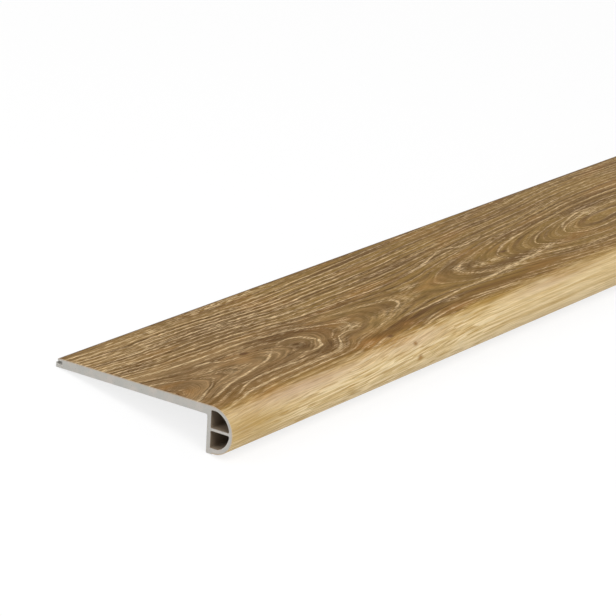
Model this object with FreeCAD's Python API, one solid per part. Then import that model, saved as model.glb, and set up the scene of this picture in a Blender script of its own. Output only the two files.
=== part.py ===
"""Bullnose stair tread nosing: an extruded rigid vinyl profile with a wood-look film over its deck and nose.

The section is drawn level, with y running back from the front of the nose and z up from the top of the deck.
It is extruded along X, then laid on its two lower edges as the loose nosing lies on a floor.
All sizes are in millimetres.
"""

import FreeCAD
import Part

import math
import os

from FreeCAD import Vector

# Overall sizes
length = 1200.0
overall_depth = 115.0

# Deck, the flat plate that covers the step
deck_thickness = 5.0

# Nose, from the deck down its round front to the underside
nose_top_radius = 13.0
nose_front_height = 1.0
nose_bottom_radius = 11.0
nose_wall = 1.9
roof_thickening = 0.3
floor_thickness = 2.8
floor_flat = 4.5

# Leg behind the nose, and its foot
leg_thickness = 2.4
foot_width = 3.5
foot_drop = 0.4

# Web that divides the hollow nose into two chambers
web_thickness = 1.4
web_drop = 12.4

# Small radii that the extrusion die leaves
chamber_corner_radius = 0.8
root_radius = 1.0
edge_radius = 0.5

# Wood-look film
film_thickness = 0.5
film_tail = 1.5
bevel_width = 0.8
bevel_height = 0.4

# Locking groove along the back edge, which takes the tongue of a floor plank
lip_overhang = 1.1
groove_drop = 1.4
groove_height = 1.8
groove_depth = 3.0
groove_corner_radius = 0.4
hook_width = 0.5
hook_height = 0.9
hook_run = 0.6

# Levels and stations that follow from the sizes above
nose_height = nose_top_radius + nose_front_height + nose_bottom_radius
film_end = nose_bottom_radius + film_tail
leg_back = film_end + foot_width
leg_front = leg_back - leg_thickness
foot_level = -(nose_height + foot_drop)
roof_level = -(nose_wall + roof_thickening)
floor_level = -(nose_height - floor_thickness)
bottom_centre_level = -(nose_height - nose_bottom_radius)
web_top = -web_drop + web_thickness / 2
web_bottom = -web_drop - web_thickness / 2
deck_film_base = -film_thickness
tail_film_base = -(nose_height - film_thickness)
upper_lip = overall_depth - lip_overhang
groove_back = upper_lip - groove_depth
groove_roof = -groove_drop
groove_floor = groove_roof - groove_height
hook_top = groove_floor + hook_height
hook_inside = overall_depth - hook_width
rest_tilt = math.degrees(math.atan2(-deck_thickness - foot_level, overall_depth - leg_back))

# How far a cutting tool runs past what it cuts, and how near two points are the same
overrun = 1.0
same_point = 1e-6


def point(y, z):
    """A point of the section."""
    return Vector(0, y, z)


def polyline(*corners):
    """Straight edges of the section from corner to corner."""
    return [Part.LineSegment(point(*a), point(*b)).toShape() for a, b in zip(corners, corners[1:])]


def arc(centre, radius, start_deg, end_deg):
    """An arc of the section. Zero degrees points to the back and 90 degrees points up."""

    def on_circle(degrees):
        angle = math.radians(degrees)
        return point(centre[0] + radius * math.cos(angle), centre[1] + radius * math.sin(angle))

    middle_deg = (start_deg + end_deg) / 2
    return [Part.Arc(on_circle(start_deg), on_circle(middle_deg), on_circle(end_deg)).toShape()]


def extrude(edges):
    """The solid that a closed row of section edges sweeps along the whole length."""
    face = Part.Face(Part.Wire(edges))
    return face.extrude(Vector(length, 0, 0))


def nose_contour(inset):
    """The outside of the nose, set in by a distance, from the top of the deck to the underside."""
    edges = arc((nose_top_radius, -nose_top_radius), nose_top_radius - inset, 90, 180)
    edges += polyline((inset, -nose_top_radius), (inset, bottom_centre_level))
    edges += arc((nose_bottom_radius, bottom_centre_level), nose_bottom_radius - inset, 180, 270)
    return edges


def film():
    """One sheet over the deck, round the nose and a short way under it, bevelled along the back edge."""
    edges = nose_contour(0)
    edges += polyline(
        (nose_bottom_radius, -nose_height),
        (film_end, -nose_height),
        (film_end, tail_film_base),
        (nose_bottom_radius, tail_film_base),
    )
    edges += reversed(nose_contour(film_thickness))
    edges += polyline(
        (nose_top_radius, deck_film_base),
        (upper_lip, deck_film_base),
        (upper_lip, -bevel_height),
        (upper_lip - bevel_width, 0),
        (nose_top_radius, 0),
    )
    return extrude(edges)


def blank():
    """The profile under the film before its chambers and its locking groove are taken out."""
    edges = nose_contour(film_thickness)
    edges += polyline(
        (nose_bottom_radius, tail_film_base),
        (film_end, tail_film_base),
        (film_end, foot_level),
        (leg_back, foot_level),
        (leg_back, -deck_thickness),
        (overall_depth, -deck_thickness),
        (overall_depth, deck_film_base),
        (nose_top_radius, deck_film_base),
    )
    return extrude(edges)


def chamber(centre, radius, low, high):
    """A hollow between two levels, from a round wall in front to the leg, with its corners rounded."""

    def front(z):
        return centre[0] - math.sqrt(radius**2 - (z - centre[1]) ** 2)

    wall = [point(front(z), z) for z in (high, (low + high) / 2, low)]
    edges = [Part.Arc(*wall).toShape()]
    edges += polyline((front(low), low), (leg_front, low), (leg_front, high), (front(high), high))
    solid = extrude(edges)
    shorter_flat = leg_front - max(front(low), front(high))
    corner_radius = min(chamber_corner_radius, shorter_flat / 2)
    return solid.makeFillet(corner_radius, [e for e in solid.Edges if runs_along(e)])


def upper_chamber():
    """The hollow above the web. Its round wall runs at an even thickness inside the nose."""
    centre = (nose_top_radius, -nose_top_radius)
    return chamber(centre, nose_top_radius - nose_wall, web_top, roof_level)


def lower_chamber():
    """The hollow below the web. Its round wall is upright at the web and ends at the flat floor."""
    run = leg_front - floor_flat - nose_wall
    fall = -web_drop - floor_level
    radius = (run**2 + fall**2) / (2 * run)
    return chamber((nose_wall + radius, -web_drop), radius, floor_level, web_bottom)


def groove():
    """What is cut from the back edge to leave the upper lip, the groove and the hooked lower lip."""
    r = groove_corner_radius
    behind = overall_depth + overrun
    edges = polyline(
        (behind, overrun),
        (upper_lip, overrun),
        (upper_lip, groove_roof),
        (groove_back + r, groove_roof),
    )
    edges += arc((groove_back + r, groove_roof - r), r, 90, 180)
    edges += polyline((groove_back, groove_roof - r), (groove_back, groove_floor + r))
    edges += arc((groove_back + r, groove_floor + r), r, 180, 270)
    edges += polyline(
        (groove_back + r, groove_floor),
        (hook_inside - hook_run, groove_floor),
        (hook_inside, hook_top),
        (behind, hook_top),
        (behind, overrun),
    )
    return extrude(edges)


def runs_along(edge):
    """Whether an edge runs the whole length of the profile."""
    ends = [v.Point.x for v in edge.Vertexes]
    return abs(ends[0] - ends[-1]) > length - overrun


def lies_at(edge, y, z):
    """Whether every end of an edge is at a point of the section."""
    return all((v.Point - Vector(v.Point.x, y, z)).Length < same_point for v in edge.Vertexes)


def round_long_edges(solid, radius, places):
    """Rounds the edges that run along the length at the given points of the section."""
    edges = [e for e in solid.Edges if runs_along(e) and any(lies_at(e, y, z) for y, z in places)]
    return solid.makeFillet(radius, edges)


def core():
    """The extruded profile under the film."""
    solid = blank()
    for hollow in (upper_chamber(), lower_chamber(), groove()):
        solid = solid.cut(hollow)
    solid = round_long_edges(solid, root_radius, [(leg_back, -deck_thickness)])
    resting_edges = [(leg_back, foot_level), (overall_depth, -deck_thickness)]
    return round_long_edges(solid, edge_radius, resting_edges)


def lay_down(shapes):
    """Tips the pieces back onto their two lower edges, with the origin on the floor under their middle."""
    for shape in shapes:
        shape.rotate(Vector(0, 0, 0), Vector(1, 0, 0), -rest_tilt)
    box = Part.makeCompound(shapes).optimalBoundingBox(False, False)
    shift = Vector(-box.Center.x, -box.Center.y, -box.ZMin)
    for shape in shapes:
        shape.translate(shift)


def main():
    pieces = {"core_profile": core(), "decor_film": film()}
    lay_down(list(pieces.values()))
    os.makedirs("parts", exist_ok=True)
    for name, shape in pieces.items():
        shape.exportStep("parts/" + name + ".step")
        box = shape.optimalBoundingBox(False, False)
        print(name, shape.isValid(), len(shape.Solids), round(shape.Volume, 1), box)
    print("rest tilt", round(rest_tilt, 3))


main()
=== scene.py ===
"""Bullnose stair tread nosing with an oak-look film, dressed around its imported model."""

import math
from functools import partialmethod, reduce

import bpy
from bpy.props import FloatProperty, FloatVectorProperty, PointerProperty
from bpy.types import Operator, Panel, PropertyGroup
from mathutils import Matrix, Vector


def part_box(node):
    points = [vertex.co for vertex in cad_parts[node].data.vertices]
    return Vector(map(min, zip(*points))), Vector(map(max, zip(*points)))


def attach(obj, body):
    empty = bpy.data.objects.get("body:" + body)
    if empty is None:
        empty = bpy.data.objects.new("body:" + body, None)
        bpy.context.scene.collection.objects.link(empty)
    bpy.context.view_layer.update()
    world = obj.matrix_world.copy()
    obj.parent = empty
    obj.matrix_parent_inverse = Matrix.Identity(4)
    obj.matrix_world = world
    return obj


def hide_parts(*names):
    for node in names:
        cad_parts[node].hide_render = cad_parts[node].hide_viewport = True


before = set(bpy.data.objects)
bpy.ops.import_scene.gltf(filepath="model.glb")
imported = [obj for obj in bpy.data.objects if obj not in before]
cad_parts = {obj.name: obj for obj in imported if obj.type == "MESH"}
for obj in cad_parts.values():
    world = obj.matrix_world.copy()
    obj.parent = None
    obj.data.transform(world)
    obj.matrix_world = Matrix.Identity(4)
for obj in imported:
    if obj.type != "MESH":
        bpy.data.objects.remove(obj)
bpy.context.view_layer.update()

bl_info = {
    "name": "Stair Tread Nosing",
    "version": (1, 0, 0),
    "blender": (4, 5, 0),
    "location": "View3D > Sidebar > Nosing",
    "description": "Builds an oak-look bullnose stair tread nosing and the stage it is shown on",
    "category": "Object",
}

MM = 0.001
# How near two places are the same, how near two points are one, and how far off a wall its hollow's middle is
SAME_PLACE = 0.01 * MM
SAME_POINT = 0.001 * MM
OFF_WALL = 0.1 * MM
# About how long a rounding's chords are, how few it has, and the sharpest edge that is shaded smooth
CHORD = 0.6 * MM
FEWEST_CHORDS = 4
SMOOTH_ANGLE = math.radians(25)
core_low, core_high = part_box("core_profile")


def size_mm(name, description, default):
    """A size of the section, given in millimetres and kept in metres."""
    return FloatProperty(
        name=name, description=description, default=default * MM, min=0.0, unit="LENGTH", precision=5
    )


def colour(name, description, srgb):
    """A colour given in screen values from 0 to 255 and kept in linear light."""
    light = [linear(c) for c in srgb]
    return FloatVectorProperty(
        name=name, description=description, default=light, min=0.0, max=1.0, subtype="COLOR", size=3
    )


def light_level(name, description, default):
    """The strength or power of a light."""
    return FloatProperty(name=name, description=description, default=default, min=0.0)


def linear(screen_value):
    """Linear light from one screen value."""
    c = screen_value / 255
    if c <= 0.04045:
        return c / 12.92
    return ((c + 0.055) / 1.055) ** 2.4


class NosingSection(PropertyGroup):
    """Sizes of the profile's section, seen from its end with the deck level."""

    length: FloatProperty(
        name="Length",
        description="Length of the profile, taken from the packed model",
        default=core_high.x - core_low.x,
        unit="LENGTH",
    )
    depth: size_mm("Depth", "From the front of the nose to the back of the lower lip", 115)
    deck: size_mm("Deck thickness", "Thickness of the deck with its film", 5)
    top_radius: size_mm("Top radius", "Radius where the deck turns down into the nose", 13)
    front_height: size_mm("Front height", "Upright stretch of the nose's front", 1)
    bottom_radius: size_mm("Bottom radius", "Radius where the nose turns under", 11)
    wall: size_mm("Nose wall", "Wall of the hollow nose with its film", 1.9)
    roof_extra: size_mm("Roof thickening", "How much thicker than the wall the nose's roof is", 0.3)
    floor: size_mm("Nose floor", "Thickness of the nose's underside", 2.8)
    floor_flat: size_mm("Floor flat", "Flat stretch of the lower hollow's floor", 4.5)
    leg: size_mm("Leg thickness", "Thickness of the leg behind the nose", 2.4)
    foot_width: size_mm("Foot width", "From the film's end to the back of the leg", 3.5)
    foot_drop: size_mm("Foot drop", "How far the foot stands below the film", 0.4)
    web: size_mm("Web thickness", "Thickness of the web across the nose", 1.4)
    web_drop: size_mm("Web drop", "From the deck's face down to the middle of the web", 12.4)
    corner_radius: size_mm("Corner radius", "Rounding in the corners of the hollows", 0.8)
    root_radius: size_mm("Root radius", "Rounding where the leg meets the deck", 1)
    edge_radius: size_mm("Edge radius", "Rounding of the two edges it rests on", 0.5)
    film: size_mm("Film thickness", "Thickness of the wood-look film", 0.5)
    film_tail: size_mm("Film tail", "Flat stretch of film under the nose", 1.5)
    bevel_width: size_mm("Bevel width", "Width of the bevel along the back of the film", 0.8)
    bevel_height: size_mm("Bevel height", "Height of the bevel along the back of the film", 0.4)
    lip_overhang: size_mm("Lip overhang", "How far the lower lip stands out past the upper", 1.1)
    groove_drop: size_mm("Groove drop", "From the deck's face down to the groove", 1.4)
    groove_height: size_mm("Groove height", "Height of the locking groove", 1.8)
    groove_depth: size_mm("Groove depth", "Depth of the locking groove under the upper lip", 3)
    groove_corner: size_mm("Groove corner", "Rounding at the bottom of the groove", 0.4)
    hook_width: size_mm("Hook width", "Width of the hook's top", 0.5)
    hook_height: size_mm("Hook height", "Height of the hook on the lower lip", 0.9)
    hook_run: size_mm("Hook run", "Slope on the inside of the hook", 0.6)
    saw_chamfer: size_mm("Sawn edge", "Tiny chamfer round both sawn ends", 0.12)


class OakPrint(PropertyGroup):
    """Colours of the printed and embossed oak film."""

    heartwood: colour("Heartwood", "Main brown of the deck", (134, 104, 48))
    heartwood_grey: colour("Grey heartwood", "Greyer brown of the limed stretches", (142, 113, 74))
    heartwood_dark: colour("Dark heartwood", "Darker brown between the rings", (94, 65, 27))
    edge_brown: colour("Edge brown", "Warm brown of the heartwood beside the sapwood", (120, 86, 34))
    heartwood_red: colour("Red heartwood", "Rusty patches in the brown", (138, 97, 44))
    lime: colour("Lime", "Pale filling in the open grain", (213, 186, 143))
    sapwood: colour("Sapwood", "Tan of the nose", (200, 174, 126))
    sapwood_pale: colour("Pale sapwood", "Pale streaks on the nose", (222, 201, 160))
    sapwood_warm: colour("Warm sapwood", "Warm streaks on the nose", (180, 150, 98))
    sapwood_grey: colour("Grey sapwood", "Greyer tan in patches of the sapwood", (188, 161, 130))
    sapwood_rust: colour("Rusty sapwood", "Rusty patches where the sapwood starts", (176, 126, 64))
    sapwood_gold: colour("Golden sapwood", "Golden brown where the sapwood starts", (160, 126, 60))
    knot: colour("Knot", "Small dark flecks", (98, 68, 36))
    edge_tint: colour("Edge tint", "Dark line painted along the back bevel", (98, 74, 48))
    cut_edge: colour("Cut edge", "Pale body of the film where the saw cut it", (202, 188, 170))
    emboss: size_mm("Emboss depth", "Depth of the pressed grain", 0.12)


class VinylCore(PropertyGroup):
    """Colours of the grey extruded core."""

    grey: colour("Grey", "Main grey of the core", (186, 184, 178))
    grey_warm: colour("Warm grey", "Warmer, paler grey of the mottling", (202, 193, 184))
    fleck: colour("Fleck", "Fine dark flecks in the vinyl", (128, 124, 118))
    # Painted shade: a darker brownish grey for the walls inside the hollow nose, where little light reaches
    hollow: colour("Hollow", "Raw brownish skin inside the hollow nose", (140, 124, 106))


class StudioStage(PropertyGroup):
    """Camera, lights and floor."""

    camera_place: FloatVectorProperty(
        name="Camera place",
        description="Where the camera stands",
        default=(-1.65535, -0.7327, 0.67332),
        subtype="TRANSLATION",
        unit="LENGTH",
    )
    camera_turn: FloatVectorProperty(
        name="Camera turn",
        description="How the camera is turned",
        default=(math.radians(64.533), math.radians(-12.19), math.radians(-52.616)),
        subtype="EULER",
        unit="ROTATION",
    )
    lens: FloatProperty(name="Lens", description="Focal length in millimetres", default=168.03, min=1.0)
    sky: light_level("Sky", "Strength of the even light from all round", 0.4)
    key: light_level("Key light", "Power of the large soft lamp in watts", 28.0)
    fill: light_level("Fill light", "Power of the front lamp in watts", 12.0)
    side: light_level("Side light", "Power of each side lamp in watts", 18.0)


class Section:
    """Levels and stations of the section, worked out from its sizes."""

    def __init__(self, sizes):
        self.sizes = s = sizes
        self.nose_height = s.top_radius + s.front_height + s.bottom_radius
        self.film_end = s.bottom_radius + s.film_tail
        self.leg_back = self.film_end + s.foot_width
        self.leg_front = self.leg_back - s.leg
        self.foot = -(self.nose_height + s.foot_drop)
        self.upper_lip = s.depth - s.lip_overhang
        self.groove_back = self.upper_lip - s.groove_depth
        self.groove_roof = -s.groove_drop
        self.groove_floor = self.groove_roof - s.groove_height
        self.hook_top = self.groove_floor + s.hook_height
        self.hook_inside = s.depth - s.hook_width
        self.deck_run = self.upper_lip - s.top_radius
        self.tilt = math.atan2(-s.deck - self.foot, s.depth - self.leg_back)

    def film_outline(self):
        """Corners of the film as y, z and rounding."""
        s = self.sizes
        bottom = -self.nose_height
        return [
            (self.upper_lip - s.bevel_width, 0, 0),
            (0, 0, s.top_radius),
            (0, bottom, s.bottom_radius),
            (self.film_end, bottom, 0),
            (self.film_end, bottom + s.film, 0),
            (s.film, bottom + s.film, s.bottom_radius - s.film),
            (s.film, -s.film, s.top_radius - s.film),
            (self.upper_lip, -s.film, 0),
            (self.upper_lip, -s.bevel_height, 0),
        ]

    def core_outline(self):
        """Corners of the core as y, z and rounding."""
        s = self.sizes
        bottom = s.film - self.nose_height
        return [
            (self.upper_lip, -s.film, 0),
            (s.film, -s.film, s.top_radius - s.film),
            (s.film, bottom, s.bottom_radius - s.film),
            (self.film_end, bottom, 0),
            (self.film_end, self.foot, 0),
            (self.leg_back, self.foot, s.edge_radius),
            (self.leg_back, -s.deck, s.root_radius),
            (s.depth, -s.deck, s.edge_radius),
            (s.depth, self.hook_top, 0),
            (self.hook_inside, self.hook_top, 0),
            (self.hook_inside - s.hook_run, self.groove_floor, 0),
            (self.groove_back, self.groove_floor, s.groove_corner),
            (self.groove_back, self.groove_roof, s.groove_corner),
            (self.upper_lip, self.groove_roof, 0),
        ]

    def hollows(self):
        """Centre, radius, floor and roof of the hollows above and below the web."""
        s = self.sizes
        floor = s.floor - self.nose_height
        run = self.leg_front - s.floor_flat - s.wall
        fall = -s.web_drop - floor
        low_radius = (run**2 + fall**2) / (2 * run)
        top_centre = (s.top_radius, -s.top_radius)
        low_centre = (s.wall + low_radius, -s.web_drop)
        return [
            (top_centre, s.top_radius - s.wall, -s.web_drop + s.web / 2, -(s.wall + s.roof_extra)),
            (low_centre, low_radius, floor, -s.web_drop - s.web / 2),
        ]

    def across(self, y, z):
        """How far round the film a point lies, from the back edge over the deck and round the nose."""
        s = self.sizes
        low_centre = s.bottom_radius - self.nose_height
        nose_start = self.deck_run + s.top_radius * math.pi / 2
        if y >= s.top_radius and z > -s.top_radius:
            return self.upper_lip - y
        if z > -s.top_radius:
            return self.deck_run + s.top_radius * math.atan2(s.top_radius - y, z + s.top_radius)
        if z > low_centre:
            return nose_start - s.top_radius - z
        under_start = nose_start + s.front_height
        if y < s.bottom_radius:
            return under_start + s.bottom_radius * math.atan2(low_centre - z, s.bottom_radius - y)
        return under_start + s.bottom_radius * math.pi / 2 + y - s.bottom_radius

    def lying(self):
        """The move from the level section to the way the loose profile lies on the floor."""
        level = Matrix.Rotation(-self.tilt, 4, "X")
        s = self.sizes
        r = s.bottom_radius
        front = (level @ Vector((0, r, r - self.nose_height))).y - r
        back = (level @ Vector((0, s.depth, self.hook_top))).y
        e = s.edge_radius
        low = (level @ Vector((0, self.leg_back - e, self.foot + e))).z - e
        return Matrix.Translation((0, -(front + back) / 2, -low)) @ level


def deselect_all():
    """Deselects every object."""
    bpy.ops.object.select_all(action="DESELECT")


def select_all():
    """Selects all of the mesh in edit mode."""
    bpy.ops.mesh.select_all(action="SELECT")


def start_point(x, y, z):
    """Adds one selected point to the mesh in edit mode, or to a new mesh, and returns where it is."""
    bpy.ops.mesh.primitive_plane_add(size=MM, location=(x, y, z))
    if bpy.context.mode != "EDIT_MESH":
        bpy.ops.object.transform_apply(location=True)
        bpy.ops.object.mode_set(mode="EDIT")
        bpy.ops.mesh.select_mode(type="VERT")
        select_all()
    bpy.ops.mesh.merge(type="CENTER")
    return y, z


def draw_line(here, to):
    """Extrudes the selected point in a straight line."""
    move = (0, to[0] - here[0], to[1] - here[1])
    bpy.ops.mesh.extrude_vertices_move(TRANSFORM_OT_translate={"value": move})
    return to


def draw_round(here, centre, to, x):
    """Spins the selected point round a centre along X."""
    first = math.atan2(here[1] - centre[1], here[0] - centre[0])
    last = math.atan2(to[1] - centre[1], to[0] - centre[0])
    angle = (last - first + math.pi) % (2 * math.pi) - math.pi
    radius = math.dist(here, centre)
    steps = max(FEWEST_CHORDS, math.ceil(abs(angle) * radius / CHORD))
    bpy.ops.mesh.spin(steps=steps, angle=-angle, center=(x, *centre), axis=(1, 0, 0))
    return to


def rounding(before, corner, after, radius):
    """Where a rounding of a corner starts and ends, and its centre."""
    c = Vector(corner)
    a = (Vector(before) - c).normalized()
    b = (Vector(after) - c).normalized()
    half = a.angle(b) / 2
    reach = radius / math.tan(half)
    centre = c + (a + b).normalized() * (radius / math.sin(half))
    return tuple(c + a * reach), tuple(centre), tuple(c + b * reach)


def draw_corners(corners, x):
    """Draws a closed outline from its corners, each a y, a z and the radius that rounds it."""
    here = start_point(x, corners[0][0], corners[0][1])
    first = here
    for i in range(1, len(corners)):
        y, z, radius = corners[i]
        after = corners[(i + 1) % len(corners)]
        if radius:
            start, centre, end = rounding(corners[i - 1][:2], (y, z), after[:2], radius)
            here = draw_line(here, start)
            here = draw_round(here, centre, end, x)
        else:
            here = draw_line(here, (y, z))
    draw_line(here, first)


def draw_hollow(centre, radius, low, high, back, corner, x):
    """Draws a hollow's outline: a round wall in front, a flat floor and roof and an upright back."""

    def seat(level, inward):
        z = level + inward * corner
        return centre[0] - math.sqrt((radius - corner) ** 2 - (z - centre[1]) ** 2), z

    def on_wall(seat_centre):
        away = (Vector(seat_centre) - Vector(centre)).normalized()
        return tuple(Vector(centre) + away * radius)

    upper, lower = seat(high, -1), seat(low, 1)
    start = (back - corner, high)
    here = start_point(x, *start)
    here = draw_line(here, (upper[0], high))
    here = draw_round(here, upper, on_wall(upper), x)
    here = draw_round(here, centre, on_wall(lower), x)
    here = draw_round(here, lower, (lower[0], low), x)
    here = draw_line(here, (back - corner, low))
    here = draw_round(here, (back - corner, low + corner), (back, low + corner), x)
    here = draw_line(here, (back, high - corner))
    draw_round(here, (back - corner, high - corner), start, x)


def select_end_faces(mesh, x):
    """Selects the faces of one sawn end."""
    bpy.ops.mesh.select_all(action="DESELECT")
    bpy.ops.object.mode_set(mode="OBJECT")
    for polygon in mesh.polygons:
        polygon.select = all(abs(mesh.vertices[v].co.x - x) < SAME_PLACE for v in polygon.vertices)
    bpy.ops.object.mode_set(mode="EDIT")
    bpy.ops.mesh.select_mode(type="FACE")


def extrude_section(obj, length, chamfer):
    """Fills the outlines that were drawn, draws them out along X and chamfers both sawn ends."""
    near = -length / 2 + chamfer
    select_all()
    bpy.ops.mesh.remove_doubles(threshold=SAME_POINT)
    select_all()
    bpy.ops.mesh.fill(use_beauty=True)
    select_all()
    bpy.ops.mesh.extrude_region_move(TRANSFORM_OT_translate={"value": (-2 * near, 0, 0)})
    select_all()
    bpy.ops.mesh.normals_make_consistent(inside=False)
    for x in (near, -near):
        select_end_faces(obj.data, x)
        bpy.ops.mesh.inset(thickness=chamfer, depth=chamfer, use_even_offset=True, use_boundary=True)
    bpy.ops.mesh.select_all(action="DESELECT")
    bpy.ops.object.mode_set(mode="OBJECT")


def finish_piece(obj, section):
    """Smooths the round faces and lays the piece down, with its place in its mesh."""
    deselect_all()
    obj.select_set(True)
    bpy.context.view_layer.objects.active = obj
    obj.matrix_world = section.lying()
    bpy.ops.object.transform_apply(location=True, rotation=True, scale=True)
    bpy.ops.object.shade_smooth_by_angle(angle=SMOOTH_ANGLE)


def new_piece(name):
    """Names the object that was just made."""
    obj = bpy.context.active_object
    obj.name = name
    obj.data.name = name
    return obj


def model_piece(name, section, outline, hollows=()):
    """Draws a piece's outline and hollows at one sawn end and draws them out along X."""
    sizes = section.sizes
    x = -sizes.length / 2 + sizes.saw_chamfer
    deselect_all()
    draw_corners(outline, x)
    for hollow in hollows:
        draw_hollow(*hollow, section.leg_front, sizes.corner_radius, x)
    obj = new_piece(name)
    extrude_section(obj, sizes.length, sizes.saw_chamfer)
    return obj


def model_core(sizes):
    """Models the core with both hollows of its nose."""
    section = Section(sizes)
    obj = model_piece("vinyl_core", section, section.core_outline(), section.hollows())
    mark_hollow_shade(obj.data, section)
    finish_piece(obj, section)
    return obj


def mark_hollow_shade(mesh, section):
    """Marks the walls inside the hollow nose, where the material paints shade."""
    mark = mesh.attributes.new("hollow", "FLOAT", "FACE")
    for centre, radius, low, high in section.hollows():
        front = centre[0] - radius
        middle = Vector(((front + section.leg_front) / 2, (low + high) / 2))
        for polygon in mesh.polygons:
            place = polygon.center.yz
            inside = front - SAME_PLACE < place.x < section.leg_front + SAME_PLACE
            inside = inside and low - SAME_PLACE < place.y < high + SAME_PLACE
            if inside and polygon.normal.yz.dot(middle - place) > OFF_WALL:
                mark.data[polygon.index].value = 1.0


def model_film(sizes):
    """Models the film over the deck and round the nose."""
    section = Section(sizes)
    obj = model_piece("oak_film", section, section.film_outline())
    map_grain(obj.data, section)
    finish_piece(obj, section)
    return obj


def map_grain(mesh, section):
    """Unrolls the film: U runs along it from the near end and V across it from the back edge, in metres."""
    layer = mesh.uv_layers.new(name="grain_map")
    for loop in mesh.loops:
        co = mesh.vertices[loop.vertex_index].co
        layer.data[loop.index].uv = (co.x + section.sizes.length / 2, section.across(co.y, co.z))


class Graph:
    """Short ways to add nodes to a node tree."""

    def __init__(self, tree):
        self.tree = tree

    def node(self, kind, inputs=None, **settings):
        made = self.tree.nodes.new(kind)
        for key, value in settings.items():
            setattr(made, key, value)
        self.fill(made.inputs, inputs or {})
        return made

    def group(self, name, inputs):
        """Uses a node group that was built before, and gives its outputs."""
        return self.node("ShaderNodeGroup", inputs, node_tree=bpy.data.node_groups[name]).outputs

    def feed(self, socket, value):
        """Links a socket to another one, or sets it to a plain value. A colour is made opaque."""
        if isinstance(value, bpy.types.NodeSocket):
            self.tree.links.new(value, socket)
        elif socket.type == "RGBA":
            socket.default_value = (*value, 1.0)
        else:
            socket.default_value = value

    def fill(self, sockets, values):
        for key, value in values.items():
            self.feed(sockets[key], value)

    def math(self, operation, *values, clamp=False):
        values = dict(enumerate(values))
        return self.node("ShaderNodeMath", values, operation=operation, use_clamp=clamp).outputs[0]

    def chain(self, operation, *values):
        """Joins values by one operation, from the first to the last."""
        return reduce(lambda first, second: self.math(operation, first, second), values)

    total = partialmethod(chain, "ADD")
    product = partialmethod(chain, "MULTIPLY")
    most = partialmethod(chain, "MAXIMUM")
    least = partialmethod(chain, "MINIMUM")

    def minus(self, first, second, clamp=False):
        return self.math("SUBTRACT", first, second, clamp=clamp)

    def gap(self, value, level):
        """How far a value is from a level, either way."""
        return self.math("ABSOLUTE", self.minus(value, level))

    def scaled(self, value, factor, offset):
        """A value times a factor, plus an offset."""
        return self.math("MULTIPLY_ADD", value, factor, offset)

    def blend(self, factor, first, second, mode="MIX"):
        values = {"Factor": factor, 6: first, 7: second}
        made = self.node("ShaderNodeMix", values, data_type="RGBA", blend_type=mode, clamp_factor=True)
        return made.outputs[2]

    def remap(self, value, low, high, to_low=0.0, to_high=1.0, smooth=True):
        kind = "SMOOTHSTEP" if smooth else "LINEAR"
        values = {"Value": value, "From Min": low, "From Max": high, "To Min": to_low, "To Max": to_high}
        return self.node("ShaderNodeMapRange", values, interpolation_type=kind).outputs[0]

    def vector(self, x=0.0, y=0.0, z=0.0):
        return self.node("ShaderNodeCombineXYZ", {"X": x, "Y": y, "Z": z}).outputs[0]

    def split(self, vector):
        return self.node("ShaderNodeSeparateXYZ", {"Vector": vector}).outputs

    def place(self, along, across, along_size, across_size, shift):
        """A point for a noise that is drawn out by a size each way, and shifted away from other noises."""
        return self.vector(
            self.scaled(along, 1 / along_size, shift),
            self.scaled(across, 1 / across_size, shift),
        )

    def noise(self, vector, detail=2, roughness=0.5, scale=1.0):
        values = {"Vector": vector, "Scale": scale, "Detail": detail, "Roughness": roughness}
        return self.node("ShaderNodeTexNoise", values).outputs[0]

    def curve(self, value, points, low, high):
        """A smooth curve through points, with its values scaled to run from low to high."""
        made = self.node("ShaderNodeFloatCurve", {"Value": value})
        line = made.mapping.curves[0]
        ordered = [(x, (y - low) / (high - low)) for x, y in points]
        line.points[0].location = ordered[0]
        line.points[1].location = ordered[-1]
        for place in ordered[1:-1]:
            line.points.new(*place)
        made.mapping.update()
        return self.scaled(made.outputs[0], high - low, low)


# Kinds of the node groups' sockets that aren't plain numbers
SOCKET_KINDS = {"Board": "NodeSocketVector", "Color": "NodeSocketColor"}


def new_group(name, inputs, outputs):
    """A new node group as the graph that fills it, the values it is given and the sockets of its results."""
    tree = bpy.data.node_groups.new(name, "ShaderNodeTree")
    for way, labels in (("INPUT", inputs), ("OUTPUT", outputs)):
        for label in labels:
            kind = SOCKET_KINDS.get(label, "NodeSocketFloat")
            tree.interface.new_socket(name=label, in_out=way, socket_type=kind)
    graph = Graph(tree)
    return graph, graph.node("NodeGroupInput").outputs, graph.node("NodeGroupOutput").inputs


def streak_group():
    """Fine streaks that run along one way: fibres in the print and die lines in the vinyl."""
    inputs = ("Along", "Across", "Streak length", "Streak width")
    graph, given, result = new_group("fine_streaks", inputs, ["Streaks"])
    along = graph.math("DIVIDE", given["Along"], given["Streak length"])
    across = graph.math("DIVIDE", given["Across"], given["Streak width"])
    graph.feed(result["Streaks"], graph.noise(graph.vector(along, across), detail=3, roughness=0.6))


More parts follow.
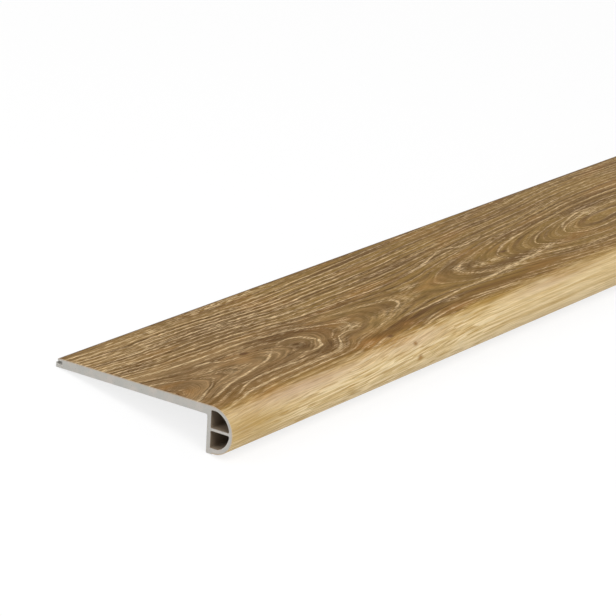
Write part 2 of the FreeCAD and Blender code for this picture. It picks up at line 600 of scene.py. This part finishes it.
# The board's heart line and how deep the heart runs below its face, in millimetres at places along it.
# Where the heart comes near the face the rings close into arches, and where it runs deep they pass by.
BOARD_RUN = 1200.0
HEART_LINE = [
    (0, 75), (30, 75.8), (60, 75.5), (90, 75.5), (117, 77), (152, 75.5), (180, 73), (205, 71), (235, 69.5),
    (280, 68.5), (330, 68.5), (385, 69), (440, 65), (540, 60), (680, 66), (820, 72), (960, 68), (1200, 62),
]
HEART_DEPTH = [
    (0, 2), (10, 8.8), (17, 11.6), (22, 13.1), (31.5, 15), (45, 15.8), (62, 16.6), (80, 17.6), (92, 18.9),
    (117, 21.3), (133, 25.5), (152, 28.4), (175, 30.4), (200, 32.3), (217, 33), (240, 32.6), (262, 30.8),
    (280, 29), (312, 25), (346, 19.5), (384, 12.5), (410, 8), (430, 6.5), (480, 12), (560, 24), (660, 32),
    (760, 27), (830, 16), (880, 9), (940, 17), (1020, 28), (1110, 33), (1200, 30),
]
# How far across the board the sapwood starts, at places along it.
SAP_EDGE = [
    (0, 103), (60, 103), (110, 103), (140, 103.3), (172, 103.5), (190, 104), (215, 103), (245, 100.5),
    (285, 101), (330, 102), (400, 102), (520, 105), (640, 99), (760, 102), (880, 106), (1000, 101),
    (1200, 104),
]
# How olive the brown is at places along the board, from a greyer brown at nought.
OLIVE_SHARE = [
    (0, 0), (90, 0.15), (180, 0.75), (300, 1), (480, 0.9), (650, 0.4), (820, 0.2), (1000, 0.8), (1200, 0.5),
]
# Ring radii in millimetres, each with its strength near the first end and beyond, and its half width.
RINGS = [
    (7.5, 0.2, 0.7, 0.9), (12.3, 0, 0.7, 0.9), (15, 0.9, 0, 0.9), (18.3, 0.2, 0.75, 0.8),
    (22.3, 0.3, 0, 0.9), (24.8, 0.1, 0.75, 0.9), (28.3, 1, 0, 1), (29.9, 0.1, 0.75, 1),
    (32.4, 0.85, 0.35, 0.8), (35.4, 0.5, 0.55, 0.8), (38.6, 1, 0.7, 0.9), (41.6, 0.5, 0.4, 0.7),
    (44.9, 1, 0.65, 0.9), (48.3, 0.9, 0.6, 0.8), (51, 0.5, 0.4, 0.7), (53.6, 1, 0.65, 0.9),
    (57, 0.9, 0.65, 0.8), (60, 0.95, 0.6, 0.8), (63.2, 0.9, 0.55, 0.8), (66.5, 0.9, 0.55, 0.8),
    (70, 0.9, 0.55, 0.8),
]
# Single pale streaks that leave the rings, each as its course along and across the board, and its strength.
STREAKS = [
    ([(165, 91), (200, 88.8), (225, 87.5), (250, 85.2), (280, 84.3), (300, 82), (330, 79), (370, 77)], 1),
    ([(262, 84.8), (285, 83.2), (300, 83.2), (315, 80.8), (340, 80.6)], 1),
    (
        [(176, 105), (186, 102.8), (200, 99), (213, 97), (232, 96.8), (250, 98.2), (268, 101), (290, 102.5)],
        0.9,
    ),
    ([(15, 102), (25, 98.5), (38, 93.5), (52, 91), (75, 91.5), (100, 92)], 0.7),
    ([(28, 103), (42, 100.5), (54, 98.3), (80, 98.5), (112, 98)], 0.6),
    ([(2, 96), (18, 92), (35, 86.5), (55, 83), (71, 79.5), (80, 76.5), (88, 71.5), (96, 66.5)], 0.9),
    ([(34, 59), (47, 60), (57, 64.5), (70, 66.5)], 0.7),
    ([(235, 48.5), (262, 44.5), (280, 40.5), (298, 35.5), (320, 32.5), (350, 30)], 0.8),
    ([(385, 66), (395, 60), (408, 55.5), (425, 52), (450, 52)], 0.8),
    ([(505, 84), (560, 80), (620, 74), (680, 71)], 0.8),
    ([(700, 52), (760, 60), (830, 62), (900, 55)], 0.7),
    ([(930, 88), (1000, 83), (1080, 84), (1150, 79)], 0.9),
]

# Oval patches of the print. Each has its middle along and across the board, its half length and its half
# width in millimetres, and then its strength. A strength below nought takes away.
# Small swellings of the rings, in millimetres of ring distance
KNOLLS = [
    (126, 86, 26, 16, 2.8), (0, 103, 46, 20, -4.2), (610, 84, 26, 16, 3), (742, 60, 16, 11, -3.5),
    (905, 88, 24, 14, 3.2), (1068, 52, 20, 12, -3),
]
# Oval rings round an eye in the grain, which fade towards the first end
EYES = [
    (104, 76.5, 14, 10, 0.95), (607, 82, 17, 9, 0.9), (1052, 55, 14, 8, 0.8),
]
# Plain dark stretches beside the sapwood where the rings fade, without a strength
PLAINS = [
    (200, 94.5, 66, 6.5), (155, 99.5, 32, 5), (290, 92.5, 80, 6), (600, 92, 80, 7), (960, 94, 90, 7),
]
# Patches crowded with pale dashes
DASHES = [
    (147, 79, 16, 7, 0.9), (135, 4, 80, 5, 0.8), (73, 61, 18, 5, 0.7), (228, 62, 20, 4.5, 0.8),
    (153, 69.5, 10, 4.5, 0.8), (185, 80, 26, 8, 0.45), (40, 68, 14, 5, 0.5), (83, 73.5, 9, 4, 0.6),
    (228, 91.5, 14, 4, 0.7), (300, 68, 26, 5, 0.8), (380, 92, 24, 5, 0.6), (276, 63, 9, 8, 0.8),
    (303, 82, 26, 4.5, 1), (352, 76.5, 34, 5, 0.8), (100, 96, 26, 4, 0.6), (100, 28, 20, 9, 0.45),
    (30, 18, 34, 14, 0.3), (430, 56, 34, 9, 0.95), (322, 80.5, 30, 4, 1), (640, 66, 40, 6, 0.7),
    (870, 70, 30, 7, 0.7), (1090, 78, 40, 6, 0.6),
]
# Broad darker patches
SHADES = [
    (108, 62, 42, 11, 0.9), (130, 72, 14, 14, 0.7), (8, 72, 26, 14, 0.6), (104, 78, 13, 8, 1.2),
    (190, 75, 30, 11, 0.55), (136, 99.5, 14, 3, 0.8), (285, 66, 26, 22, 0.6), (200, 94, 50, 7, 0.35),
    (150, 99.5, 26, 4, 0.8), (180, 99.5, 24, 4, 0.7), (278, 97, 26, 3, 0.5), (378, 92, 22, 5, -0.7),
    (160, 33, 34, 6, 0.5), (16, 39, 30, 8, 1.2), (18, 96, 34, 10, 0.5), (95, 28, 90, 19, 0.8),
    (45, 73, 22, 8, 0.6), (50, 88, 60, 14, 0.35), (120, 40, 60, 5, 0.4), (320, 38, 50, 7, 0.5),
    (345, 15, 40, 12, 0.4), (350, 50, 30, 14, 0.3), (315, 76, 55, 9, 0.8), (140, 6, 50, 8, -1.3),
    (234, 61, 28, 8, -1.3), (75, 60, 12, 5, -0.5), (300, 69, 30, 5, -0.5), (318, 88, 28, 4, -0.4),
    (432, 58, 28, 10, -0.7), (440, 48, 50, 5, 0.9), (590, 72, 60, 14, 0.7), (800, 80, 70, 12, 0.8),
    (985, 60, 60, 12, 0.6), (1120, 85, 60, 14, 0.7),
]
# Small dark flecks
FLECKS = [
    (72, 64.5, 4.2, 2.5, 2.6), (150, 103, 5, 1.8, 1.2), (163, 113, 3, 2, 0.8), (164.5, 121, 3.6, 2.6, 0.8),
    (323, 63, 5, 2.2, 1.4), (548, 71, 4.5, 2, 1.4), (742, 101, 4.5, 1.6, 1.2), (905, 79, 6.5, 2.6, 1.6),
    (1068, 60, 4, 1.8, 1.4),
]
# Patches of rusty brown
RUSTS = [
    (8, 80, 14, 7, 0.5), (133, 101, 20, 6, 0.9), (175, 98, 14, 6, 0.7), (218, 101, 28, 4, 0.9),
    (330, 22, 30, 8, 0.5), (520, 92, 50, 7, 0.8), (700, 44, 40, 9, 0.6), (860, 97, 40, 6, 0.8),
    (1010, 52, 30, 7, 0.6), (1150, 96, 30, 7, 0.7),
]
# A stretch where the sapwood starts more sharply
CRISP_EDGE = [(196, 101, 52, 18, 2.0)]
# Pale bands, golden patches and greyer patches of the sapwood
PALE_BANDS = [
    (60, 117, 60, 3, 0.3), (110, 114.5, 50, 3.5, 0.5), (265, 112, 70, 2.5, 0.2), (330, 119, 60, 3, 0.5),
    (480, 113, 80, 3, 0.8), (640, 108, 60, 2.5, 0.7), (790, 116, 90, 3, 0.7), (960, 110, 70, 3, 0.8),
    (1110, 114, 60, 3, 0.6),
]
GOLDS = [
    (18, 119, 50, 11, 0.55), (168, 102.5, 20, 4, 0.6), (205, 109, 55, 5, 0.45), (240, 105.5, 55, 4, 0.7),
    (330, 110, 50, 3, 0.5), (600, 105, 70, 4, 0.6), (900, 108, 80, 5, 0.5), (1100, 106, 60, 4, 0.5),
]
GREYS = [
    (62, 110.5, 90, 9, 1), (165, 111.5, 60, 7, 0.6), (310, 110, 75, 5, 0.7), (700, 113, 90, 6, 0.5),
    (1010, 114, 80, 6, 0.5),
]
# Thin lines of the sapwood: length, spacing, shift of their noise, amount and colour
SAP_LINES = [
    (60, 1.9, 7.3, 0.6, "sapwood_warm"),
    (22, 1.1, 3.7, 0.8, "sapwood_warm"),
    (18, 0.9, 1.1, 0.55, "sapwood_gold"),
    (24, 1.1, 5.9, 1.0, "sapwood_pale"),
    (45, 1.5, 9.7, 0.9, "sapwood_pale"),
]

PATCH_INPUTS = ("Along", "Across", "Middle along", "Middle across", "Half length", "Half width")
FIELD_OUTPUTS = ("Along", "Across", "Ring distance", "Crowding")


def soft_patch_group():
    """An oval patch that fades out from its middle to its rim, and a thin line along the rim."""
    graph, given, result = new_group("soft_patch", PATCH_INPUTS, ("Amount", "Rim"))
    along = graph.math("DIVIDE", graph.minus(given["Along"], given["Middle along"]), given["Half length"])
    across = graph.math("DIVIDE", graph.minus(given["Across"], given["Middle across"]), given["Half width"])
    reach = {0: graph.vector(along, across)}
    distance = graph.node("ShaderNodeVectorMath", reach, operation="LENGTH").outputs["Value"]
    graph.feed(result["Amount"], graph.remap(distance, 1.0, 0.0))
    graph.feed(result["Rim"], graph.remap(graph.gap(distance, 1.0), 0.1, 0.02))


def soft_patch(graph, along, across, oval, part="Amount"):
    """Places one soft patch and gives its amount, or its rim."""
    return graph.group("soft_patch", dict(zip(PATCH_INPUTS, (along, across, *oval))))[part]


def add_patches(graph, along, across, patches, value):
    """Adds soft patches to a value, each by its strength."""
    for *oval, strength in patches:
        value = graph.scaled(soft_patch(graph, along, across, oval), strength, value)
    return value


def board_curve(graph, along, points, low, high):
    """A smooth curve through places along the board."""
    share = graph.math("DIVIDE", along, BOARD_RUN, clamp=True)
    return graph.curve(share, [(x / BOARD_RUN, y) for x, y in points], low, high)


def ring_field_group():
    """Distance from the heart of the log, whose level lines are the growth rings on the board's face."""
    graph, given, result = new_group("ring_field", ["Board"], FIELD_OUTPUTS)
    board = graph.split(given["Board"])
    along, across = (graph.math("MULTIPLY", board[way], 1 / MM) for way in "XY")

    def wander(along_size, across_size, reach, shift):
        """A noise that swings by a reach in millimetres."""
        value = graph.noise(graph.place(along, across, along_size, across_size, shift), detail=1.0)
        return graph.scaled(value, 2 * reach, -reach)

    calm = graph.remap(across, 92, 104, 1.0, 0.35)
    small = graph.product(graph.total(wander(22, 9, 0.8, 7.7), wander(5, 2.4, 0.3, 1.9)), calm)
    large = graph.product(wander(80, 30, 2.5, 3.1), graph.remap(along, 380, 620, 0.25, 1.0))
    bent = graph.total(across, large, small)
    moved = graph.total(along, wander(40, 10, 2.5, 5.3), wander(9, 4, 1.2, 9.1))
    aside = graph.minus(bent, board_curve(graph, moved, HEART_LINE, 50, 90))
    depth = board_curve(graph, moved, HEART_DEPTH, 0, 40)
    squared = graph.total(graph.math("POWER", aside, 2), graph.math("POWER", depth, 2))
    distance = add_patches(graph, moved, bent, KNOLLS, graph.math("SQRT", squared))
    steepness = graph.math("DIVIDE", graph.math("ABSOLUTE", aside), distance)
    slope = graph.math("SQRT", graph.scaled(steepness, steepness, 0.026))
    crowding = graph.math("DIVIDE", 1.0, slope)
    graph.fill(result, dict(zip(FIELD_OUTPUTS, (moved, bent, distance, crowding))))


class OakGrain(Graph):
    """The parts of the oak print, drawn from where a point lies among the rings."""

    def __init__(self, tree, board, look):
        super().__init__(tree)
        self.look = look
        field = self.group("ring_field", {"Board": board})
        self.along, self.across, self.rings, self.crowding = (field[k] for k in FIELD_OUTPUTS)
        self.near_back = self.product(self.remap(self.along, 220, 120), self.remap(self.across, 60, 40))
        rust = self.remap(self.drawn(60, 15, 12.1, self.across), 0.5, 0.75, 0.0, 0.5)
        self.warm = self.patches(RUSTS, rust)
        self.from_edge = self.past_edge()

    def drawn(self, along_size, size, shift, across=None, detail=2):
        """Noise drawn out along the board, which follows the rings unless it is given another way across."""
        across = self.rings if across is None else across
        return self.noise(self.place(self.along, across, along_size, size, shift), detail)

    def patch(self, oval, part="Amount"):
        return soft_patch(self, self.along, self.across, oval, part)

    def patches(self, table, value=0.0):
        return add_patches(self, self.along, self.across, table, value)

    def past_edge(self):
        """How far a point lies past the frayed line where the sapwood starts."""
        fray = self.scaled(self.drawn(30, 1.2, 9.3, self.across), 10, -5)
        edge = self.total(board_curve(self, self.along, SAP_EDGE, 90, 110), fray)
        return self.product(self.minus(self.across, edge), self.patches(CRISP_EDGE, 1.0))

    def loudness(self):
        """One where the rings show, and nought in the plain stretches."""
        loud = 1.0
        for oval in PLAINS:
            plain = self.product(self.patch(oval), 2.4)
            loud = self.product(loud, self.minus(1.0, plain, clamp=True))
        return loud

    def lines(self):
        """Limed rings and streaks, each a thin pale line that comes and goes along the board."""
        lines = 0.0
        beyond = self.remap(self.along, 210, 260)
        for radius, near, far, half_width in RINGS:
            off = self.product(self.gap(self.rings, radius), self.crowding)
            strength = self.scaled(beyond, far - near, near)
            lines = self.most(lines, self.remap(off, half_width, 0.1, 0.0, strength))
        lines = self.product(lines, self.remap(self.drawn(28, 5, 2.2), 0.35, 0.6, 0.35, 1.0))
        for course, strength in STREAKS:
            first, last = course[0][0], course[-1][0]
            part = self.remap(self.along, first, last, smooth=False)
            points = [((x - first) / (last - first), y) for x, y in course]
            off = self.gap(self.across, self.curve(part, points, 40, 100))
            ends = self.least(self.remap(part, 0.0, 0.2), self.remap(part, 1.0, 0.8))
            lines = self.most(lines, self.product(self.remap(off, 1.0, 0.2, 0.0, strength), ends))
        for *oval, strength in EYES:
            middle, reach = oval[0], oval[2]
            opening = self.remap(self.along, middle - reach, middle + 0.3 * reach, 0.1, 1.0)
            lines = self.most(lines, self.product(self.patch(oval, "Rim"), opening, strength))
        return lines

    def lime(self):
        """Pale filling of the pores, in lines and in short dashes that are thickest in the lines."""
        loud = self.loudness()
        lines = self.product(self.lines(), loud)
        faint_lines = self.remap(self.drawn(60, 1.1, 6.6, detail=1.0), 0.52, 0.64, 0.1, 0.55)
        faint_lines = self.product(faint_lines, loud, self.remap(self.crowding, 1.2, 2.5, 1.0, 0.6))
        cover = self.most(lines, faint_lines)
        for *oval, strength in DASHES:
            cover = self.most(cover, self.product(self.patch(oval), strength))
        dashes = self.remap(self.drawn(6.5, 0.6, 4.4, self.across, detail=1.0), 0.47, 0.58)
        plain_share = self.remap(self.crowding, 1.3, 3, 0.5, 0.2)
        dash_share = self.scaled(self.near_back, 0.5, self.remap(self.crowding, 1.3, 3, 0.9, 1.25))
        lime = self.total(self.product(lines, plain_share), self.product(dashes, cover, dash_share))
        return self.least(lime, 1.0)

    def heartwood(self):
        """Brown heartwood, darkest in bands between the rings and beside the sapwood."""
        look = self.look
        olive = self.scaled(self.near_back, 0.4, board_curve(self, self.along, OLIVE_SHARE, 0, 1))
        brown = self.blend(olive, look.heartwood_grey, look.heartwood)
        shade = self.scaled(self.drawn(90, 22, 8.8, self.across, detail=3), 1.2, -0.45)
        brown = self.blend(self.patches(SHADES, shade), brown, look.heartwood_dark)
        bands = self.product(
            self.remap(self.drawn(120, 2, 1.3), 0.44, 0.6, 0.0, 0.9),
            self.remap(self.crowding, 1.2, 4.5, 1.0, 0.4),
            self.remap(self.along, 200, 280, 1.15, 1.0),
        )
        brown = self.blend(bands, brown, look.heartwood_dark)
        beside = self.least(self.remap(self.from_edge, -14, -5), self.remap(self.from_edge, 6, 0.0))
        brown = self.blend(self.product(beside, 0.6), brown, look.edge_brown)
        return self.blend(self.warm, brown, look.heartwood_red)

    def sapwood(self):
        """Tan sapwood, whose lines run nearly straight, golden or rusty where it starts."""
        look = self.look
        drawn_out = self.least(self.along, self.scaled(self.along, 0.4, 138))
        straighter = self.total(
            self.product(self.across, 0.8), self.product(self.rings, 0.2), self.product(drawn_out, 0.04)
        )
        pale = self.remap(self.drawn(60, 4, 5.9, straighter), 0.45, 0.65, 0.0, 0.35)
        # Paler on the lower front and underside of the nose past the first end: partly paler print, partly
        # painted light on the faces turned down from the lamps
        low_pale_and_painted_light = self.product(self.remap(self.across, 118, 129, 0.0, 0.6), self.remap(self.along, 40, 120))
        pale = self.patches(PALE_BANDS, self.total(pale, low_pale_and_painted_light))
        tan = self.blend(pale, look.sapwood, look.sapwood_pale)
        near_end = self.remap(self.along, 5, 60, 0.6, 1.0)
        fainter = self.product(self.remap(self.along, 200, 290, 1.0, 0.6), near_end)
        for line_length, spacing, shift, amount, tone in SAP_LINES:
            thin = self.noise(self.place(drawn_out, straighter, line_length, spacing, shift), detail=1.0)
            thin = self.product(self.remap(thin, 0.57, 0.62, 0.0, amount), fainter)
            tan = self.blend(thin, tan, getattr(look, tone))
        tan = self.blend(self.patches(GREYS), tan, look.sapwood_grey)
        gold = self.patches(GOLDS, self.remap(self.from_edge, 9, 2, 0.0, 0.85))
        return self.blend(gold, tan, self.blend(self.warm, look.sapwood_gold, look.sapwood_rust))


def oak_print_group(look):
    """The oak print: brown heartwood with limed rings on the deck, and tan sapwood round the nose."""
    graph, given, result = new_group("oak_print", ["Board"], ("Color", "Roughness", "Height"))
    grain = OakGrain(graph.tree, given["Board"], look)
    lime = grain.lime()
    sap = graph.remap(grain.from_edge, -1.5, 8.5)
    wood = graph.blend(sap, graph.blend(lime, grain.heartwood(), look.lime), grain.sapwood())
    knot = graph.blend(sap, look.knot, look.heartwood_red)
    for *oval, strength in FLECKS:
        wood = graph.blend(graph.product(grain.patch(oval), strength), wood, knot)

    # Fibres, and the dark line painted along the back bevel
    fibres = {"Along": grain.along, "Across": grain.rings, "Streak length": 14, "Streak width": 0.5}
    fibre = graph.remap(graph.group("fine_streaks", fibres)[0], 0.3, 0.7, -1.0, 1.0, smooth=False)
    swing = graph.product(graph.scaled(sap, -0.14, 0.28), graph.remap(grain.along, 200, 280, 1.35, 0.9))
    fibre = graph.scaled(fibre, swing, 1.0)
    wood = graph.blend(1.0, wood, graph.vector(fibre, fibre, fibre), mode="MULTIPLY")
    from_back = graph.math("MULTIPLY", graph.split(given["Board"])["Y"], 1 / MM)
    wood = graph.blend(graph.remap(from_back, 2.2, 1.0), wood, look.edge_tint)

    rough = graph.total(0.5, graph.product(lime, 0.2), graph.product(graph.minus(fibre, 1.0), -0.3))
    height = graph.minus(graph.product(fibre, 0.5), graph.product(lime, 0.8))
    graph.fill(result, {"Color": wood, "Roughness": rough, "Height": height})


def shader(name):
    """A material, the graph that feeds its Principled shader, and that shader's inputs."""
    material = bpy.data.materials.new(name)
    material.use_nodes = True
    return material, Graph(material.node_tree), material.node_tree.nodes["Principled BSDF"].inputs


def oak_material(look, half_length):
    """The film: the oak print with its pressed grain, and the pale body of the film at both sawn ends."""
    material, graph, principled = shader("oak_film")
    unrolled = graph.node("ShaderNodeUVMap", uv_map="grain_map").outputs[0]
    oak = graph.group("oak_print", {"Board": unrolled})
    bump = graph.node("ShaderNodeBump", {"Height": oak["Height"], "Distance": look.emboss, "Strength": 0.6})
    place = graph.split(graph.node("ShaderNodeTexCoord").outputs["Object"])
    from_middle = graph.math("ABSOLUTE", place["X"])
    sawn = graph.remap(from_middle, half_length - 0.2 * MM, half_length - 0.05 * MM, 0.0, 0.85)
    graph.fill(principled, {
        "Base Color": graph.blend(sawn, oak["Color"], look.cut_edge),
        "Roughness": oak["Roughness"],
        "Normal": bump.outputs[0],
        "Specular IOR Level": 0.03,
    })
    return material


def vinyl_material(look):
    """The core: mottled grey vinyl with fine flecks and die lines, and painted shade inside the hollow nose.
    """
    material, graph, principled = shader("grey_vinyl")
    place = graph.node("ShaderNodeTexCoord").outputs["Object"]
    split = graph.split(place)
    drawn = graph.node("ShaderNodeMapping", {"Vector": place, "Scale": (0.15, 1.0, 1.0)}).outputs[0]
    mottle = graph.noise(drawn, detail=4, roughness=0.6, scale=110)
    base = graph.blend(graph.remap(mottle, 0.4, 0.7, 0.0, 0.8), look.grey, look.grey_warm)
    flecks = graph.remap(graph.noise(place, detail=2, scale=1400), 0.62, 0.72, 0.0, 0.5)
    base = graph.blend(flecks, base, look.fleck)
    # Painted shade: the walls inside the hollow nose are darkened towards a brownish grey
    hollow = graph.node("ShaderNodeAttribute", attribute_name="hollow").outputs["Fac"]
    base = graph.blend(hollow, base, look.hollow)
    lines = graph.group("fine_streaks", {
        "Along": split["X"],
        "Across": graph.total(split["Y"], split["Z"]),
        "Streak length": 600 * MM,
        "Streak width": 1.2 * MM,
    })
    height = graph.total(graph.product(lines[0], 0.6), graph.product(mottle, 0.5))
    bump = graph.node("ShaderNodeBump", {"Height": height, "Distance": 0.08 * MM, "Strength": 0.5})
    graph.fill(principled, {
        "Base Color": base,
        "Roughness": graph.remap(mottle, 0.3, 0.7, 0.5, 0.64),
        "Normal": bump.outputs[0],
        "Specular IOR Level": 0.4,
    })
    return material


def settle(obj, material, node):
    """Gives a piece its material, fixes it to the body and lets it stand for its node of the frame."""
    obj.data.materials.clear()
    obj.data.materials.append(material)
    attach(obj, "root")
    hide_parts(node)


class NOSING_OT_core(Operator):
    """Model the grey extruded core with its hollow nose and locking groove"""

    bl_idname = "nosing.core"
    bl_label = "Vinyl Core"

    def execute(self, context):
        obj = model_core(context.scene.nosing_section)
        settle(obj, vinyl_material(context.scene.nosing_vinyl), "core_profile")
        return {"FINISHED"}


class NOSING_OT_film(Operator):
    """Model the oak-look film over the deck and round the nose"""

    bl_idname = "nosing.film"
    bl_label = "Oak Film"

    def execute(self, context):
        sizes = context.scene.nosing_section
        obj = model_film(sizes)
        settle(obj, oak_material(context.scene.nosing_oak, sizes.length / 2), "decor_film")
        return {"FINISHED"}


class NOSING_OT_groups(Operator):
    """Build the shared node groups"""

    bl_idname = "nosing.groups"
    bl_label = "Grain Node Groups"

    def execute(self, context):
        streak_group()
        soft_patch_group()
        ring_field_group()
        oak_print_group(context.scene.nosing_oak)
        return {"FINISHED"}


class NOSING_OT_stage(Operator):
    """Set the floor, the lights and the camera"""

    bl_idname = "nosing.stage"
    bl_label = "Stage"

    def execute(self, context):
        look = context.scene.nosing_stage
        make_floor()
        make_world(look.sky)
        make_lamps(look)
        make_camera(look)
        context.scene.view_settings.view_transform = "Standard"
        return {"FINISHED"}


def background_factor(graph):
    """One for rays from the camera and for those that mirror or glass passes on."""
    path = graph.node("ShaderNodeLightPath").outputs
    return graph.most(path["Is Camera Ray"], path["Is Glossy Ray"], path["Is Transmission Ray"])


WHITE = (1.0, 1.0, 1.0)
# The camera's sensor in millimetres, and how far it sees and how wide the floor is in metres
SENSOR_WIDTH = 36.0
FARTHEST = 50.0
FLOOR_SIZE = 12.0
# How grey the floor looks to the lamps' bounced light, and to the camera
FLOOR_BOUNCE = (0.7, 0.7, 0.7)
FLOOR_SEEN = (0.97, 0.97, 0.97)
# How much of the floor's look is even white rather than lit
FLOOR_GLOW = 0.8
# Soft lamps: name, place, what it faces, size in metres, and the setting of its power
LAMPS = [
    ("key_softbox", (-0.9, -0.7, 2.0), (-0.2, 0.0, 0.0), 1.6, "key"),
    ("front_fill", (-0.6, -2.4, 0.4), (-0.2, 0.0, 0.0), 0.7, "fill"),
    ("side_fill", (-2.6, 0.9, 1.3), (-0.4, 0.0, 0.0), 1.4, "side"),
    ("far_side_fill", (2.6, 0.6, 1.3), (0.4, 0.0, 0.0), 1.4, "side"),
]


def make_floor():
    """A white floor that takes only soft shadows."""
    deselect_all()
    bpy.ops.mesh.primitive_plane_add(size=FLOOR_SIZE, location=(0, 0, 0))
    floor = new_piece("studio_floor")
    material = bpy.data.materials.new("studio_white")
    material.use_nodes = True
    graph = Graph(material.node_tree)
    nodes = material.node_tree.nodes
    nodes.remove(nodes["Principled BSDF"])
    seen = background_factor(graph)
    lit = graph.node("ShaderNodeBsdfDiffuse", {"Color": graph.blend(seen, FLOOR_BOUNCE, FLOOR_SEEN)})
    white = graph.node("ShaderNodeEmission", {"Color": WHITE, "Strength": 1.0})
    share = graph.product(seen, FLOOR_GLOW)
    mix = graph.node("ShaderNodeMixShader", {0: share, 1: lit.outputs[0], 2: white.outputs[0]})
    graph.feed(nodes["Material Output"].inputs["Surface"], mix.outputs[0])
    floor.data.materials.append(material)


def make_world(strength):
    """An even light from all round that looks white to the camera."""
    world = bpy.data.worlds.new("studio_sky")
    bpy.context.scene.world = world
    world.use_nodes = True
    graph = Graph(world.node_tree)
    light = graph.remap(background_factor(graph), 0.0, 1.0, strength, 1.0)
    graph.fill(world.node_tree.nodes["Background"].inputs, {"Color": WHITE, "Strength": light})


def put_in_scene(name, data, place, turn):
    obj = bpy.data.objects.new(name, data)
    bpy.context.scene.collection.objects.link(obj)
    obj.location = place
    obj.rotation_euler = turn
    return obj


def make_lamps(look):
    for name, place, aim, size, power in LAMPS:
        lamp = bpy.data.lights.new(name, "AREA")
        lamp.shape = "DISK"
        lamp.size = size
        lamp.energy = getattr(look, power)
        turn = (Vector(aim) - Vector(place)).to_track_quat("-Z", "Y").to_euler()
        put_in_scene(name, lamp, place, turn)


def make_camera(look):
    """The camera that was fitted to the photo."""
    camera = bpy.data.cameras.new("photo_camera")
    camera.lens = look.lens
    camera.sensor_width = SENSOR_WIDTH
    camera.clip_end = FARTHEST
    bpy.context.scene.camera = put_in_scene("photo_camera", camera, look.camera_place, look.camera_turn)


class NOSING_PT_panel(Panel):
    """Lists the pieces of the nosing and its stage"""

    bl_label = "Stair Tread Nosing"
    bl_idname = "NOSING_PT_panel"
    bl_space_type = "VIEW_3D"
    bl_region_type = "UI"
    bl_category = "Nosing"

    def draw(self, context):
        for name, _ in SETTINGS:
            box = self.layout.box()
            group = getattr(context.scene, name)
            for key in group.__annotations__:
                box.prop(group, key)
        for operator in OPERATORS:
            self.layout.operator(operator.bl_idname)


SETTINGS = (
    ("nosing_section", NosingSection),
    ("nosing_oak", OakPrint),
    ("nosing_vinyl", VinylCore),
    ("nosing_stage", StudioStage),
)
OPERATORS = (NOSING_OT_groups, NOSING_OT_core, NOSING_OT_film, NOSING_OT_stage)


def register():
    for name, group in SETTINGS:
        bpy.utils.register_class(group)
        setattr(bpy.types.Scene, name, PointerProperty(type=group))
    for operator in OPERATORS:
        bpy.utils.register_class(operator)
    bpy.utils.register_class(NOSING_PT_panel)


def unregister():
    bpy.utils.unregister_class(NOSING_PT_panel)
    for operator in reversed(OPERATORS):
        bpy.utils.unregister_class(operator)
    for name, group in reversed(SETTINGS):
        delattr(bpy.types.Scene, name)
        bpy.utils.unregister_class(group)


def main():
    register()
    bpy.ops.nosing.groups()
    bpy.ops.nosing.core()
    bpy.ops.nosing.film()
    bpy.ops.nosing.stage()


if __name__ == "__main__":
    main()
